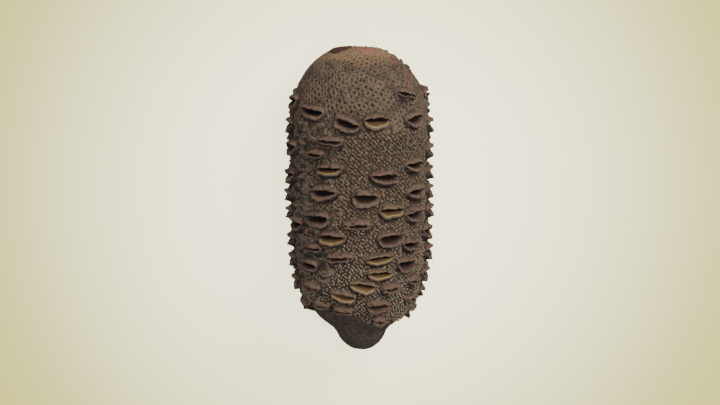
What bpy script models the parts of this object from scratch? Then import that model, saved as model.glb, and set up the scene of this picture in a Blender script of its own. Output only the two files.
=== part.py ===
"""Woody seed cone of a giant banksia, lying on its back as picked.

The cone grew as one piece, so it is one closed solid: a tapering stalk, a barrel-shaped axis
covered in small bracts, and about 110 follicles, each a pair of woody valves like lips.
The surface is worked out unrolled, as a plane of bearing round the axis and distance along
the outline, with the bracts and the follicles as points of that plane. The plane is split
into triangles, and each point is then set on the outline turned round the axis, raised along
the surface's own normal.

Driving dimensions are in millimetres. The cone lies along Y with its crown at +Y and the
side that shows in the picture on top.
"""
import math
import random
from collections import namedtuple

import bpy
import numpy as np
from mathutils import Vector
from mathutils.geometry import delaunay_2d_cdt

MM = 0.001
GOLDEN_ANGLE = math.pi * (3 - math.sqrt(5))

# Outline of the bare body: radius and height above the stalk's end
OUTLINE = (
    (0.0, 0.0), (5.6, 0.7), (9.8, 2.9), (12.8, 5.6), (15.3, 8.6), (16.6, 11.2), (18.0, 13.9),
    (20.6, 16.7), (25.0, 19.8), (29.2, 23.2), (33.2, 28.4), (37.2, 35.0), (40.8, 43.0),
    (43.9, 54.0), (45.7, 68.0), (46.4, 95.0), (46.3, 125.0), (45.9, 150.0), (44.9, 168.0),
    (41.8, 181.0), (38.1, 188.0), (34.2, 193.6), (30.4, 197.6), (26.6, 200.8), (22.4, 203.6),
    (17.8, 206.0), (12.6, 207.4), (7.0, 208.0), (0.0, 208.2),
)
LENGTH = 209.0             # with the scale on the crown
CROWN_LEAN = -1.6          # the crown sits this far to the left of the axis
STALK_LEAN = 1.4           # and the stalk's end this far to the right
STEPS_PER_SPAN = 24

# Woody scale left on the crown: across and towards the seen side from the axis, its half
# width and half depth, and its height above the bracts
Scale = namedtuple("Scale", "across toward wide deep rise")
CROWN_SCALE = Scale(-10.8, 1.0, 5.6, 11.0, 1.2)

# Follicles: half the spread of the woody lips and their height above the bracts
LIP_HEIGHT = 5.2
BROW_SPREAD = 5.4          # from the mouth's line up to where the upper valve starts
CHIN_SPREAD = 6.4          # from the mouth's line down to where the lower valve starts
END_SPREAD = 0.9           # the valves run this far past the mouth's corners
CLEARANCE = 1.5            # bare strip between a follicle and the next bract
WIDEST, NARROWEST = 1.16, 0.72   # share of the full spread that a follicle has, by its room
FULL_SPREAD = 1.04 * (BROW_SPREAD + CHIN_SPREAD)

# The valves' form: shares of the mouth's half length, of its spread and of the lips' height
LIPS_REACH, INSIDE_REACH, FLOOR_REACH = 0.93, 0.72, 0.34
CORNER_RISE, LOWER_RISE, INSIDE_RISE = 0.40, 0.92, 0.45
CHIN_TUCK, LOWER_FLARE, INSIDE_SPREAD = 0.90, 1.12, 0.55
CROWDED_RISE = 0.45        # share of the lips' height that shrinks with the spread
FLOOR_DROP = 0.09          # the floor's line is this share of the mouth's spread below its line
LENS_POWER = 0.85          # under 1 makes the mouth's outline fuller than an ellipse

# The picture looks down on the cone by this angle, measured from square on
SEEN_FROM_ABOVE = math.radians(6.0)

# Follicles on the side that shows, as seen: across the axis, up from the stalk's end,
# length of the mouth, slope in degrees, and what the mouth is like
Seen = namedtuple("Seen", "across up length slope mouth")
SEEN_FOLLICLES = (
    Seen(-43.0, 171.0, 17, -10, "open"), Seen(-30.6, 163.2, 20, -14, "open"),
    Seen(-7.6, 154.5, 17.8, -18, "open"), Seen(11.8, 156.6, 18.2, 2, "gold"),
    Seen(31.2, 174.0, 17, -14, "shut"), Seen(36.2, 158.6, 17, 16, "open"),
    Seen(44.0, 177.0, 13, 0, "shut"), Seen(46.3, 156.5, 15, 4, "open"),
    Seen(-45.4, 156.0, 15, 0, "open"), Seen(-19.0, 142.6, 18, -5, "shut"),
    Seen(-44.0, 140.0, 16, -6, "open"), Seen(-29.0, 134.0, 13, -6, "shut"),
    Seen(-20.0, 124.0, 19, 0, "gold"), Seen(16.7, 119.0, 20, 0, "open"),
    Seen(35.8, 127.6, 17, 4, "open"), Seen(46.0, 138.5, 16, 2, "open"),
    Seen(46.2, 124.0, 14, 0, "open"), Seen(-45.0, 121.0, 16, 0, "gold"),
    Seen(-23.5, 108.5, 20, -2, "open"), Seen(4.0, 104.9, 18, -2, "wide"),
    Seen(37.3, 109.6, 17, 14, "open"), Seen(46.2, 111.0, 14, 0, "open"),
    Seen(21.3, 96.3, 19, 3, "gold"), Seen(36.4, 94.2, 16.5, 14, "open"),
    Seen(46.2, 97.5, 14, 0, "open"), Seen(-28.0, 91.2, 19, -6, "open"),
    Seen(-1.5, 86.0, 19, 0, "shut"), Seen(-18.0, 78.0, 20, -2, "gold"),
    Seen(20.8, 78.1, 20, 11, "open"), Seen(34.4, 73.6, 15.5, 4, "open"),
    Seen(45.0, 83.0, 14, 6, "open"), Seen(45.3, 69.5, 14, 6, "open"),
    Seen(-41.5, 88.0, 15, -18, "open"), Seen(-46.2, 108.0, 14, 0, "open"),
    Seen(-46.2, 96.0, 14, 0, "open"), Seen(-45.9, 77.5, 15, 0, "open"),
    Seen(-30.4, 70.8, 15, -6, "shut"), Seen(-12.7, 64.2, 18, 0, "shut"),
    Seen(-33.0, 60.2, 16, -18, "open"), Seen(-45.2, 64.0, 14, 0, "open"),
    Seen(-42.8, 49.5, 14, -8, "gold"), Seen(13.2, 64.2, 20, 8, "gold"),
    Seen(31.0, 60.8, 16, 6, "wide"), Seen(13.7, 54.0, 18, 2, "gold"),
    Seen(2.0, 46.0, 18, -8, "gold"), Seen(20.6, 44.0, 14, 6, "shut"),
    Seen(-32.0, 45.0, 16, -18, "shut"), Seen(-10.9, 39.7, 17.5, -16, "gold"),
    Seen(12.6, 32.7, 17, 4, "open"), Seen(-25.0, 32.6, 12, -16, "shut"),
    Seen(-11.0, 29.3, 13, -12, "shut"), Seen(12.4, 22.4, 9, 0, "shut"),
    Seen(36.0, 49.0, 13, 8, "shut"), Seen(43.4, 54.5, 13, 4, "open"),
    Seen(33.5, 37.5, 12, 10, "shut"), Seen(41.0, 42.0, 12, 6, "shut"),
)

# Four shut follicles underneath that the cone lies on: bearing from the underside, height
REST_BEARINGS = (math.radians(-12.5), math.radians(12.5))
REST_HEIGHTS = (60.0, 150.0)
REST_LIP_HEIGHT = 6.4
AXIS_HEIGHT = 49.9         # of the axis above the surface, which the four ridges are worn to
UNDER_GAP = 0.4            # other follicles underneath stay this far off the surface
AXIS_ASIDE = 0.5           # of the axis from the middle of the cone's own width

# The rest of the follicles, drawn by a seeded rule on the side that doesn't show
SEED = 31
HIDDEN_TRIES = 9000
HIDDEN_LOWEST, HIDDEN_HIGHEST = 28.0, 176.0
HIDDEN_FROM, HIDDEN_TO = math.radians(84), math.radians(276)    # bearings
HIDDEN_SHORTEST, HIDDEN_LONGEST, HIDDEN_SLOPE = 14.5, 19.0, 6
HIDDEN_MOUTHS = ("open", "open", "open", "wide", "shut", "gold")
SPACING_ROUND, SPACING_UP = 20.5, 12.4

# Bracts: points of a golden-angle spiral at an even density, with beads or pits among them
BRACT_LATTICE = 5600
BRACT_LOW, BRACT_HIGH = 18.5, 207.9
BEAD_GAP = 5.0             # least distance between two beads, or two pits
BEAD_RISE, BEAD_GROOVE = 1.0, -0.7
PIT_RISE, PIT_SINK = 0.35, -1.2
PITTED_ABOVE = 172.0       # height from which the bracts stand tight, with pits between them
WORN_SHARE = 0.7           # of the beads' and pits' relief that is lost where they are worn
STALK_RINGS = ((2.2, 9), (5.0, 12), (8.6, 13), (12.0, 15), (15.4, 19))   # height, points
STALK_TWIST = 0.13         # turn of each of these rings against the last, in radians
FOOT_RING, CROWN_RING = (0.45, 8), (208.12, 7)     # next to the poles
POLE_TURN = 0.07           # keeps these two rings' points off the back seam

Follicle = namedtuple("Follicle", "bearing along length slope mouth lip spread")


def smooth_curve(points, steps):
    """Catmull-Rom curve through the points, with the end tangents mirrored at both poles."""
    pts = np.array(points, float)
    before = pts[1] * (-1, 1)
    after = pts[-2] * (-1, 1)
    ring = np.vstack([before, pts, after])
    t = np.arange(steps)[:, None] / steps
    spans = []
    for a, b, c, d in zip(ring[:-3], ring[1:-2], ring[2:-1], ring[3:]):
        spans.append(0.5 * (2 * b + (c - a) * t + (2 * a - 5 * b + 4 * c - d) * t**2
                            + (3 * b - a - 3 * c + d) * t**3))
    return np.vstack(spans + [pts[-1:]])


class Body:
    """The bare body: its outline by distance along it, and points of it turned round Y."""

    def __init__(self):
        curve = smooth_curve(OUTLINE, STEPS_PER_SPAN)
        self.radius, self.height = np.maximum(curve[:, 0], 0), curve[:, 1]
        step = np.hypot(np.diff(self.radius), np.diff(self.height))
        self.along = np.concatenate([[0], np.cumsum(step)])
        slope_r = np.gradient(self.radius, self.along)
        slope_h = np.gradient(self.height, self.along)
        size = np.hypot(slope_r, slope_h)
        self.out_r, self.out_h = slope_h / size, -slope_r / size
        mid_radius = (self.radius[1:] + self.radius[:-1]) / 2
        self.unrolled = np.concatenate([[0], np.cumsum(step / mid_radius)])
        self.area = np.concatenate([[0], np.cumsum(step * mid_radius)])

    def along_at_height(self, height):
        return np.interp(height, self.height, self.along)

    def radius_at(self, along):
        return np.interp(along, self.along, self.radius)

    def plane(self, bearing, along):
        """The unrolled plane, in which angles are true: bearing, and length over radius."""
        return np.stack([bearing, np.interp(along, self.along, self.unrolled)], axis=-1)

    def point(self, bearing, along, rise):
        """Outline point at that distance, raised along the normal and turned to the bearing."""
        radius, height = self.radius_at(along), np.interp(along, self.along, self.height)
        out_r = np.interp(along, self.along, self.out_r)
        out_h = np.interp(along, self.along, self.out_h)
        rise = rise + swelling(bearing, height) * np.clip(radius / 30, 0, 1)
        r, h = radius + rise * out_r, height + rise * out_h
        share = height / LENGTH
        lean = CROWN_LEAN * share**4 + STALK_LEAN * (1 - share) ** 8
        return np.stack([r * np.sin(bearing) + lean, h, r * np.cos(bearing)], axis=-1)


def swelling(bearing, height):
    """Slow unevenness of the body: three waves round it that drift with the height."""
    return (0.45 * np.sin(2 * bearing + height / 31) + 0.35 * np.sin(3 * bearing - height / 19)
            + 0.25 * np.sin(5 * bearing + height / 13))


def smooth_step(value, low, high):
    """Cubic ease from 0 at low to 1 at high."""
    share = np.clip((value - low) / (high - low), 0, 1)
    return share * share * (3 - 2 * share)


def wornness(bearing, height):
    """0 to 1: how far the bracts are worn off, most on the left of the seen side.

    Two crossed waves make the clouds. The left band and the foot of the left side push them
    up until hardly a bract is left there.
    """
    cloud = (np.sin(bearing * 5 + height / 9) * np.sin(height / 7 - bearing * 3)
             + 0.5 * np.sin(bearing * 11 - height / 5))
    left = smooth_step(-np.sin(bearing), 0.22, 0.55) * smooth_step(np.cos(bearing), -0.3, 0.2)
    band = smooth_step(height, 42, 56) * (1 - smooth_step(height, 156, 172))
    foot = smooth_step(-np.sin(bearing), 0.05, 0.4) * (1 - smooth_step(height, 25, 36))
    return smooth_step(cloud * 0.35 + 0.95 * left * band + 0.9 * foot, 0.45, 0.85)


def seen_to_body(body, seen):
    """Bearing, distance along and true slope of a follicle from where it shows."""
    along = body.along_at_height(seen.up)
    for _ in range(4):
        radius = body.radius_at(along)
        bearing = math.asin(max(-1.0, min(1.0, seen.across / radius)))
        height = seen.up + radius * math.cos(bearing) * math.tan(SEEN_FROM_ABOVE)
        along = body.along_at_height(height)
    fall = math.tan(bearing) * math.sin(SEEN_FROM_ABOVE) if abs(bearing) < 1.35 else 0.0
    slope = math.atan((math.tan(math.radians(seen.slope)) - fall) * math.cos(bearing))
    return Follicle(bearing, along, seen.length, slope, seen.mouth, LIP_HEIGHT, 1.0)


def turn_between(a, b):
    return (a - b + math.pi) % (2 * math.pi) - math.pi


def far_enough(body, bearing, along, others):
    """True where the spot is outside every other follicle's elliptical patch."""
    radius = body.radius_at(along)
    for other in others:
        round_gap = turn_between(bearing, other.bearing) * radius / SPACING_ROUND
        up_gap = (along - other.along) / SPACING_UP
        if math.hypot(round_gap, up_gap) < 1.0:
            return False
    return True


def place_follicles(body):
    """Those that show, the four to rest on, then seeded darts wherever one still fits."""
    follicles = [seen_to_body(body, seen) for seen in SEEN_FOLLICLES]
    for height in REST_HEIGHTS:
        for turn in REST_BEARINGS:
            follicles.append(Follicle(math.pi + turn, body.along_at_height(height), 17, 0.0,
                                      "rest", REST_LIP_HEIGHT, 1.0))
    draw = random.Random(SEED)
    low, high = body.along_at_height(HIDDEN_LOWEST), body.along_at_height(HIDDEN_HIGHEST)
    for _ in range(HIDDEN_TRIES):
        bearing = draw.uniform(HIDDEN_FROM, HIDDEN_TO)
        along = draw.uniform(low, high)
        size = draw.uniform(HIDDEN_SHORTEST, HIDDEN_LONGEST)
        slope = math.radians(draw.gauss(0, HIDDEN_SLOPE))
        mouth = draw.choice(HIDDEN_MOUTHS)
        if far_enough(body, bearing, along, follicles):
            lip = min(LIP_HEIGHT, lip_limit(body, bearing, along))
            follicles.append(Follicle(bearing, along, size, slope, mouth, lip, 1.0))
    return [follicle._replace(spread=room(body, follicle, follicles)) for follicle in follicles]


def lip_limit(body, bearing, along):
    """Height of the lips at which they would come down to the surface, less a gap."""
    down = max(0.5, -math.cos(bearing))
    return (AXIS_HEIGHT - UNDER_GAP) / down - body.radius_at(along)


def room(body, follicle, others):
    """Share of the full spread that leaves the follicles above and below clear."""
    share = WIDEST
    for other in others:
        if other is follicle:
            continue
        radius = body.radius_at((follicle.along + other.along) / 2)
        round_gap = turn_between(follicle.bearing, other.bearing) * radius
        up_gap = follicle.along - other.along
        cos, sin = math.cos(follicle.slope), math.sin(follicle.slope)
        u, w = round_gap * cos + up_gap * sin, up_gap * cos - round_gap * sin
        reach = (follicle.length + other.length) / 2 + 2 * END_SPREAD
        overlap = 1 - (u / reach) ** 2
        if overlap > 0.02:
            share = min(share, abs(w) / (FULL_SPREAD * math.sqrt(overlap)))
    return max(NARROWEST, share)


# How each kind of mouth opens: the lips' distance from the mouth's line, then the depth
Mouth = namedtuple("Mouth", "upper lower depth")
MOUTHS = {
    "open": Mouth(1.8, 4.7, -1.6),
    "wide": Mouth(2.0, 5.1, -1.2),
    "gold": Mouth(1.9, 4.9, 1.2),
    "shut": Mouth(0.9, 2.2, 2.0),
    "rest": Mouth(1.5, 1.7, 5.2),
}


def ring(count, half_length, above, below):
    """Lens outline: cosine along the mouth, a softened sine above and below it."""
    angle = 2 * math.pi * np.arange(count) / count
    lift = np.abs(np.sin(angle)) ** LENS_POWER
    side = np.where(np.sin(angle) > 0, above, -below)
    return half_length * np.cos(angle), side * lift, lift


def follicle_points(follicle):
    """Plane places and true places of a follicle's points, ring by ring, outermost first.

    The valves start at the base ring, rise to the lips' ring, which flares past the base
    below the mouth, and fall inside to the mouth's floor.
    """
    mouth = MOUTHS[follicle.mouth]
    half = follicle.length / 2
    size = follicle.spread
    lip = follicle.lip * (1 - CROWDED_RISE * (1 - min(1.0, size)))
    upper, lower = mouth.upper * size, mouth.lower * size
    rings = []
    u, w, lift = ring(8, half + END_SPREAD, BROW_SPREAD * size, CHIN_SPREAD * size)
    tuck = np.where(w < 0, CHIN_TUCK, 1.0)
    rings.append((u, w, u, w * tuck, np.zeros(8)))
    u, w, lift = ring(8, half * LIPS_REACH, upper, lower)
    flare = np.where(w < 0, LOWER_FLARE, 1.0)
    rise = (CORNER_RISE + (1 - CORNER_RISE) * lift) * np.where(w < 0, LOWER_RISE, 1.0)
    rings.append((u, w * CHIN_TUCK, u, w * flare, lip * rise))
    u, w, lift = ring(6, half * INSIDE_REACH, upper * INSIDE_SPREAD, lower * INSIDE_SPREAD)
    inside = mouth.depth + (lip - mouth.depth) * INSIDE_RISE
    rings.append((u, w, u, w, np.full(6, inside)))
    u = np.array([half * FLOOR_REACH, -half * FLOOR_REACH])
    w = np.full(2, (upper - lower) * FLOOR_DROP)
    rings.append((u, w, u, w, np.full(2, mouth.depth)))
    return rings


def to_body(body, follicle, u, w):
    """Mouth's own axes to bearing and distance along the body."""
    cos, sin = math.cos(follicle.slope), math.sin(follicle.slope)
    along = follicle.along + u * sin + w * cos
    bearing = follicle.bearing + (u * cos - w * sin) / body.radius_at(along)
    return bearing, along


def inside_follicle(body, follicle, bearing, along):
    """Mask of the points on a follicle's patch, an ellipse with a bare strip round it."""
    across = (bearing - follicle.bearing + math.pi) % (2 * math.pi) - math.pi
    across = across * body.radius_at(along)
    up = along - follicle.along
    cos, sin = math.cos(follicle.slope), math.sin(follicle.slope)
    u, w = across * cos + up * sin, up * cos - across * sin
    reach = np.where(w > 0, BROW_SPREAD, CHIN_SPREAD) * follicle.spread + CLEARANCE
    return (u / (follicle.length / 2 + END_SPREAD + CLEARANCE)) ** 2 + (w / reach) ** 2 < 1


class Surface:
    """Points gathered for the skin: place in the plane, place in space, and fixed edges."""

    def __init__(self):
        self.plane, self.space, self.edges = [], [], []
        self.count = 0

    def add(self, plane, space, closed=False):
        first = self.count
        self.plane.append(plane)
        self.space.append(space)
        self.count += len(plane)
        if closed:
            for k in range(len(plane)):
                self.edges.append((first + k, first + (k + 1) % len(plane)))


def add_follicles(surface, body, follicles):
    for follicle in follicles:
        for u, w, u_true, w_true, rise in follicle_points(follicle):
            bearing, along = to_body(body, follicle, u, w)
            true_bearing, true_along = to_body(body, follicle, u_true, w_true)
            surface.add(body.plane(bearing, along),
                        body.point(true_bearing, true_along, rise), closed=len(u) > 2)


def well_spaced(points, gap):
    """Mask of the points taken in turn wherever none taken before is nearer than the gap."""
    taken = np.zeros(len(points), bool)
    for k, point in enumerate(points):
        chosen = points[:k][taken[:k]]
        taken[k] = not len(chosen) or np.min(np.sum((chosen - point) ** 2, axis=1)) > gap**2
    return taken


def add_bracts(surface, body, follicles):
    """Golden-angle spiral, even in area, with well-spaced beads, or pits near the crown."""
    low, high = body.along_at_height(BRACT_LOW), body.along_at_height(BRACT_HIGH)
    area_low, area_high = np.interp([low, high], body.along, body.area)
    index = np.arange(BRACT_LATTICE)
    area = area_low + (area_high - area_low) * (index + 0.5) / BRACT_LATTICE
    along = np.interp(area, body.area, body.along)
    bearing = (index * GOLDEN_ANGLE + math.pi) % (2 * math.pi) - math.pi
    free = np.ones(BRACT_LATTICE, bool)
    for follicle in follicles:
        free &= ~inside_follicle(body, follicle, bearing, along)
    bearing, along = bearing[free], along[free]
    marked = well_spaced(body.point(bearing, along, 0.0), BEAD_GAP)
    bead = np.where(marked, BEAD_RISE, BEAD_GROOVE)
    pit = np.where(marked, PIT_SINK, PIT_RISE)
    height, radius = np.interp(along, body.along, body.height), body.radius_at(along)
    rise = np.where(height > PITTED_ABOVE, pit, bead)
    rise = rise * (1 - WORN_SHARE * wornness(bearing, height))
    across = (radius * np.sin(bearing) - CROWN_SCALE.across) / CROWN_SCALE.wide
    toward = (radius * np.cos(bearing) - CROWN_SCALE.toward) / CROWN_SCALE.deep
    on_scale = (across**2 + toward**2 < 1) & (height > PITTED_ABOVE)
    rise = np.where(on_scale, CROWN_SCALE.rise, rise)
    surface.add(body.plane(bearing, along), body.point(bearing, along, rise))


def add_stalk(surface, body):
    """Rings up the smooth stalk, each turned a little against the last."""
    for k, (height, count) in enumerate(STALK_RINGS):
        bearing = 2 * math.pi * np.arange(count) / count - math.pi + STALK_TWIST * (k + 1)
        along = np.full(count, body.along_at_height(height))
        surface.add(body.plane(bearing, along), body.point(bearing, along, 0.0))


def add_end_ring(surface, body, ring_spec):
    """A plain ring next to a pole. Returns the numbers of its points."""
    height, count = ring_spec
    first = surface.count
    bearing = 2 * math.pi * np.arange(count) / count - math.pi + POLE_TURN
    along = np.full(count, body.along_at_height(height))
    surface.add(body.plane(bearing, along), body.point(bearing, along, 0.0))
    return list(range(first, first + count))


def triangulate(surface):
    """Delaunay triangles of the plane, with its two edges joined round the back.

    The points near either edge are repeated past the other one, and of each triangle's
    copies only the one whose centre lies between the edges is kept.
    """
    plane = np.vstack(surface.plane)
    turn, margin = 2 * math.pi, 1.9
    numbers = np.arange(len(plane))
    copies = [(numbers, 0.0), (numbers[plane[:, 0] > math.pi - margin], -turn),
              (numbers[plane[:, 0] < margin - math.pi], turn)]
    source, points, edges = [], [], []
    for chosen, shift in copies:
        place = {int(n): len(source) + k for k, n in enumerate(chosen)}
        source.extend(int(n) for n in chosen)
        points.extend(Vector((x + shift, y)) for x, y in plane[chosen])
        edges.extend((place[a], place[b]) for a, b in surface.edges
                     if a in place and b in place)
    found, _, faces, _, _, _ = delaunay_2d_cdt(points, edges, [], 0, 1e-7)
    if len(found) != len(points):
        raise ValueError(f"{len(found) - len(points)} follicle rings cross each other")
    triangles = []
    for a, b, c in faces:
        middle = (points[a].x + points[b].x + points[c].x) / 3
        if -math.pi <= middle < math.pi:
            triangles.append((source[a], source[b], source[c]))
    return triangles


def fan(ring_numbers, pole, upwards):
    """Triangles that close a ring on its pole, facing away from the cone."""
    pairs = zip(ring_numbers, ring_numbers[1:] + ring_numbers[:1])
    return [(a, b, pole) if upwards else (b, a, pole) for a, b in pairs]


def lay_down(points):
    """From the axis to the surface it lies on, worn flat where a ridge would reach below."""
    laid = points + (AXIS_ASIDE, -LENGTH / 2, 0.0)
    laid[:, 2] = np.maximum(laid[:, 2] + AXIS_HEIGHT, 0.0)
    return laid * MM


def wood(name, colour, roughness):
    material = bpy.data.materials.new(name)
    material.use_nodes = True
    shader = material.node_tree.nodes["Principled BSDF"]
    shader.inputs["Base Color"].default_value = (*colour, 1.0)
    shader.inputs["Roughness"].default_value = roughness
    shader.inputs["Metallic"].default_value = 0.0
    return material


def build_cone():
    body = Body()
    follicles = place_follicles(body)
    surface = Surface()
    foot = add_end_ring(surface, body, FOOT_RING)
    add_stalk(surface, body)
    add_bracts(surface, body, follicles)
    add_follicles(surface, body, follicles)
    crown = add_end_ring(surface, body, CROWN_RING)
    triangles = triangulate(surface)
    points = np.vstack(surface.space + [body.point(np.zeros(2), body.along[[0, -1]], 0.0)])
    triangles += fan(foot, len(points) - 2, upwards=False)
    triangles += fan(crown, len(points) - 1, upwards=True)
    mesh = bpy.data.meshes.new("cone")
    mesh.from_pydata(lay_down(points).tolist(), [], triangles)
    mesh.validate()
    mesh.materials.append(wood("banksia_wood", (0.135, 0.085, 0.062), 0.78))
    cone = bpy.data.objects.new("cone", mesh)
    bpy.context.scene.collection.objects.link(cone)
    return cone


def main():
    for item in list(bpy.data.objects):
        bpy.data.objects.remove(item)
    build_cone()


main()
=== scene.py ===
"""Looks of a giant banksia seed cone that lies on its back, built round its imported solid.

The solid is replaced by finer pieces of the same form: a skin with the stalk and the ground
between the bracts, the bracts themselves as small beads in a golden-angle spiral, the woody
follicles with their two valves, the golden blades that show in some of their mouths, and the
scales and crumbs left on the crown.
Every shape is a formula on whole arrays. Lengths are in millimetres until a mesh is made.
"""

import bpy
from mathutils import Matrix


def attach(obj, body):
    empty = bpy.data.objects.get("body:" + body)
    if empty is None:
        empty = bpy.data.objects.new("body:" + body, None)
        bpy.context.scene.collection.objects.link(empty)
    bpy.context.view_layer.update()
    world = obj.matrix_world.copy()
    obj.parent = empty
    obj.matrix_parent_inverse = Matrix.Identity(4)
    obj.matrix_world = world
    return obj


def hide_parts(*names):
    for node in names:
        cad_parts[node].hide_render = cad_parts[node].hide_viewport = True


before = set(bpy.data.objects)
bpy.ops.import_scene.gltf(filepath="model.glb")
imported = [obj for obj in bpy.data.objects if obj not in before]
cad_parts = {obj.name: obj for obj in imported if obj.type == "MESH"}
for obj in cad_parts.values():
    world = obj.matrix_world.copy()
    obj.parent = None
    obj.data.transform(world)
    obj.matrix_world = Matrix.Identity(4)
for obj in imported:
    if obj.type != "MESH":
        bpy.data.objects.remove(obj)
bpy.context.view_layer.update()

import math
import random
from collections import namedtuple

import bpy
import numpy as np
from mathutils import Matrix, Vector

MM = 0.001
TURN = 2 * math.pi
GOLDEN_ANGLE = math.pi * (3 - math.sqrt(5))
NODE, BODY_NAME, SLOT = "cone", "root", "cone_wood"

# Body

# Outline of the bare body: radius and height above the stalk's end
OUTLINE = (
    (0.0, 0.0), (5.6, 0.7), (9.8, 2.9), (12.8, 5.6), (15.3, 8.6), (16.6, 11.2), (18.0, 13.9),
    (20.6, 16.7), (25.0, 19.8), (29.2, 23.2), (33.2, 28.4), (37.2, 35.0), (40.8, 43.0),
    (43.9, 54.0), (45.7, 68.0), (46.4, 95.0), (46.3, 125.0), (45.9, 150.0), (44.9, 168.0),
    (41.8, 181.0), (38.1, 188.0), (34.2, 193.6), (30.4, 197.6), (26.6, 200.8), (22.4, 203.6),
    (17.8, 206.0), (12.6, 207.4), (7.0, 208.0), (0.0, 208.2),
)
LENGTH = 209.0             # with the scale on the crown
CROWN_LEAN = -1.6          # the crown sits this far to the left of the axis
STALK_LEAN = 1.4           # and the stalk's end this far to the right
STEPS_PER_SPAN = 24
AXIS_HEIGHT = 49.9         # of the axis above the surface that the cone lies on
AXIS_ASIDE = 0.5           # of the axis from the middle of the cone's own width
STALK_TOP = 18.5           # height at which the bracts begin

# Follicles, as in the solid

LIP_HEIGHT = 5.2
BROW_SPREAD = 5.4          # from the mouth's line up to where the upper valve starts
CHIN_SPREAD = 6.4          # from the mouth's line down to where the lower valve starts
END_SPREAD = 0.9           # the valves run this far past the mouth's corners
WIDEST, NARROWEST = 1.16, 0.72
FULL_SPREAD = 1.04 * (BROW_SPREAD + CHIN_SPREAD)
LEAST_OVERLAP = 0.02       # follicles that pass each other by more than this don't crowd
CORNER_RISE, CREST_POWER = 0.40, 0.55    # of the lips at the corners, and of their rise
CROWDED_RISE = 0.45
SKEW = 0.28                # most that a mouth's widest place moves along it, in radians
SEEN_FROM_ABOVE = math.radians(6.0)
EDGE_BEARING = 1.35        # past this the slope that shows isn't corrected for the height

Seen = namedtuple("Seen", "across up length slope mouth")
SEEN_FOLLICLES = (
    Seen(-43.0, 171.0, 17, -10, "open"), Seen(-30.6, 163.2, 20, -14, "open"),
    Seen(-7.6, 154.5, 17.8, -18, "open"), Seen(11.8, 156.6, 18.2, 2, "gold"),
    Seen(31.2, 174.0, 17, -14, "shut"), Seen(36.2, 158.6, 17, 16, "open"),
    Seen(44.0, 177.0, 13, 0, "shut"), Seen(46.3, 156.5, 15, 4, "open"),
    Seen(-45.4, 156.0, 15, 0, "open"), Seen(-19.0, 142.6, 18, -5, "shut"),
    Seen(-44.0, 140.0, 16, -6, "open"), Seen(-29.0, 134.0, 13, -6, "shut"),
    Seen(-20.0, 124.0, 19, 0, "gold"), Seen(16.7, 119.0, 20, 0, "open"),
    Seen(35.8, 127.6, 17, 4, "open"), Seen(46.0, 138.5, 16, 2, "open"),
    Seen(46.2, 124.0, 14, 0, "open"), Seen(-45.0, 121.0, 16, 0, "gold"),
    Seen(-23.5, 108.5, 20, -2, "open"), Seen(4.0, 104.9, 18, -2, "wide"),
    Seen(37.3, 109.6, 17, 14, "open"), Seen(46.2, 111.0, 14, 0, "open"),
    Seen(21.3, 96.3, 19, 3, "gold"), Seen(36.4, 94.2, 16.5, 14, "open"),
    Seen(46.2, 97.5, 14, 0, "open"), Seen(-28.0, 91.2, 19, -6, "open"),
    Seen(-1.5, 86.0, 19, 0, "shut"), Seen(-18.0, 78.0, 20, -2, "gold"),
    Seen(20.8, 78.1, 20, 11, "open"), Seen(34.4, 73.6, 15.5, 4, "open"),
    Seen(45.0, 83.0, 14, 6, "open"), Seen(45.3, 69.5, 14, 6, "open"),
    Seen(-41.5, 88.0, 15, -18, "open"), Seen(-46.2, 108.0, 14, 0, "open"),
    Seen(-46.2, 96.0, 14, 0, "open"), Seen(-45.9, 77.5, 15, 0, "open"),
    Seen(-30.4, 70.8, 15, -6, "shut"), Seen(-12.7, 64.2, 18, 0, "shut"),
    Seen(-33.0, 60.2, 16, -18, "open"), Seen(-45.2, 64.0, 14, 0, "open"),
    Seen(-42.8, 49.5, 14, -8, "gold"), Seen(13.2, 64.2, 20, 8, "gold"),
    Seen(31.0, 60.8, 16, 6, "wide"), Seen(13.7, 54.0, 18, 2, "gold"),
    Seen(2.0, 46.0, 18, -8, "gold"), Seen(20.6, 44.0, 14, 6, "shut"),
    Seen(-32.0, 45.0, 16, -18, "shut"), Seen(-10.9, 39.7, 17.5, -16, "gold"),
    Seen(12.6, 32.7, 17, 4, "open"), Seen(-25.0, 32.6, 12, -16, "shut"),
    Seen(-11.0, 29.3, 13, -12, "shut"), Seen(12.4, 22.4, 9, 0, "shut"),
    Seen(36.0, 49.0, 13, 8, "shut"), Seen(43.4, 54.5, 13, 4, "open"),
    Seen(33.5, 37.5, 12, 10, "shut"), Seen(41.0, 42.0, 12, 6, "shut"),
)
REST_BEARINGS = (math.radians(-12.5), math.radians(12.5))
REST_HEIGHTS = (60.0, 150.0)
REST_LENGTH, REST_LIP_HEIGHT = 17, 6.4
UNDER_GAP = 0.4
SEED = 31
HIDDEN_TRIES = 9000
HIDDEN_LOWEST, HIDDEN_HIGHEST = 28.0, 176.0
HIDDEN_BEARINGS = (math.radians(84), math.radians(276))
HIDDEN_LENGTHS, HIDDEN_SLOPE = (14.5, 19.0), 6
HIDDEN_MOUTHS = ("open", "open", "open", "wide", "shut", "gold")
SPACING_ROUND, SPACING_UP = 20.5, 12.4

Follicle = namedtuple("Follicle", "bearing along length slope mouth lip spread")

# How each kind of mouth opens: the lips' distance from the mouth's line, the depth, and how
# far below the chin no bract stands, as a share of its spread
Mouth = namedtuple("Mouth", "upper lower depth bare")
MOUTHS = {
    "open": Mouth(1.8, 4.7, -2.2, 1.22),
    "wide": Mouth(2.0, 5.1, -1.8, 1.22),
    "gold": Mouth(1.9, 4.9, -1.6, 1.22),
    "shut": Mouth(0.9, 2.2, 1.2, 1.0),
    "rest": Mouth(1.5, 1.7, 5.2, 1.0),
}

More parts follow.
